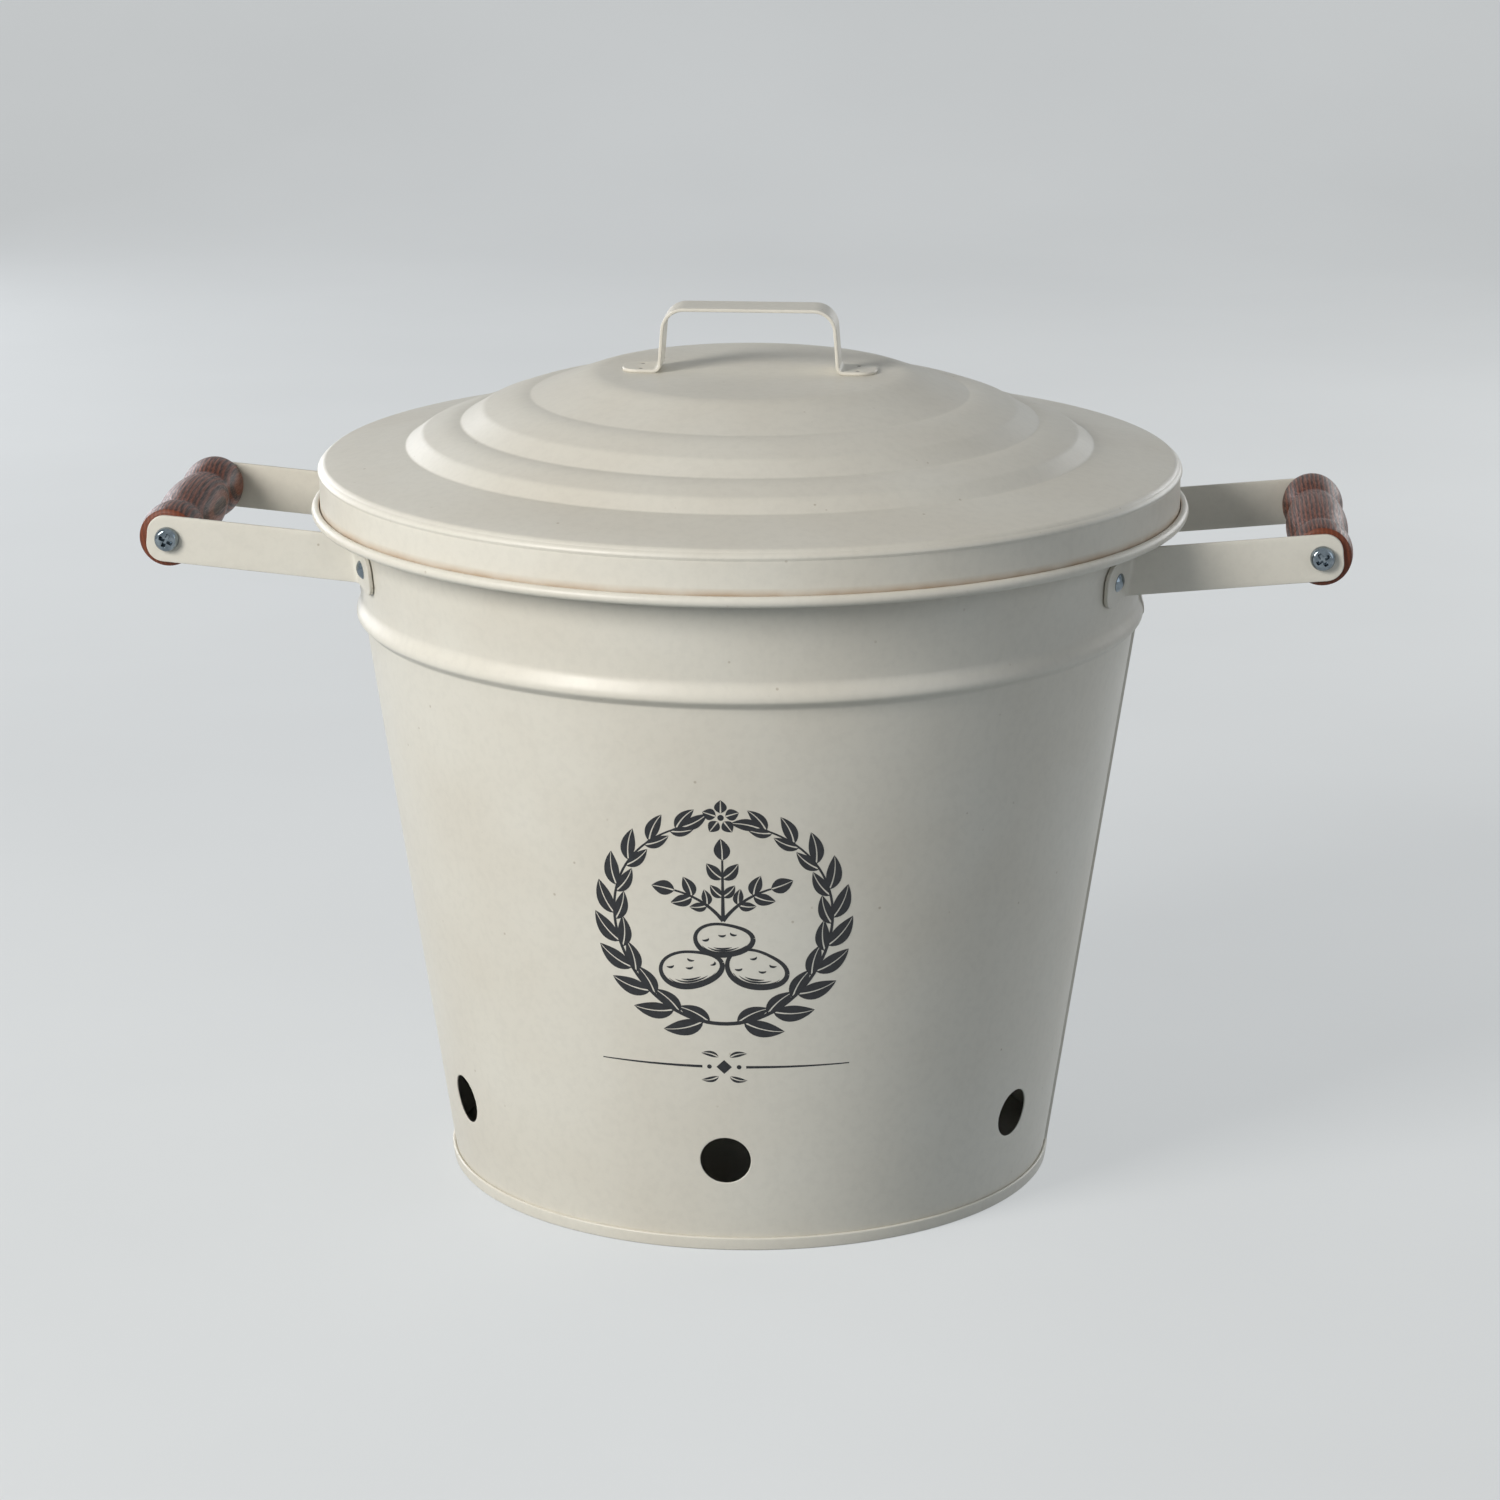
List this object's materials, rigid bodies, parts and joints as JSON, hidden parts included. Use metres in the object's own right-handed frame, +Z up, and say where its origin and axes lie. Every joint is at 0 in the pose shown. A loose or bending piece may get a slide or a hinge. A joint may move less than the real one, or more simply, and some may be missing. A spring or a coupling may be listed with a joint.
{
  "type": "potato storage bin",
  "caption": "Tapered, cream-coated steel storage bin with vent holes near its foot, a lift-off stepped lid and strap side handles with turned wooden grips.",
  "frame": {"origin": "centre of the base on the surface it stands on", "axes": "+Z up along the bin's axis, X from the left grip to the right grip, the bin's front faces -Y"},
  "size_m": [0.411, 0.302, 0.3036],
  "materials": {
    "cream_coat": "satin powder coat",
    "steel_wire": "drawn wire",
    "zinc_plate": "bright zinc plate",
    "stained_wood": "turned and stained, open grain"
  },
  "bodies": {
    "bin": {"body_wall": "cream_coat", "base_pan": "cream_coat", "rim_wire": "steel_wire", "left_front_arm": "cream_coat", "left_rear_arm": "cream_coat", "right_front_arm": "cream_coat", "right_rear_arm": "cream_coat", "left_front_rivet": "zinc_plate", "left_rear_rivet": "zinc_plate", "right_front_rivet": "zinc_plate", "right_rear_rivet": "zinc_plate"},
    "lid": {"lid_shell": "cream_coat", "lid_wire": "steel_wire", "lid_handle": "cream_coat"},
    "left_grip": {"left_grip": "stained_wood", "left_front_screw": "zinc_plate", "left_rear_screw": "zinc_plate"},
    "right_grip": {"right_grip": "stained_wood", "right_front_screw": "zinc_plate", "right_rear_screw": "zinc_plate"}
  },
  "joints": [
    {"name": "lid_lift", "type": "slide", "parent": "bin", "child": "lid", "axis": [0, 0, 1], "range_m": [0, 0.25]},
    {"name": "left_grip_turn", "type": "hinge", "parent": "bin", "child": "left_grip", "pos_m": [-0.195, 0, 0.229], "axis": [0, 1, 0], "continuous": true},
    {"name": "right_grip_turn", "type": "hinge", "parent": "bin", "child": "right_grip", "pos_m": [0.195, 0, 0.229], "axis": [0, 1, 0], "continuous": true}
  ]
}
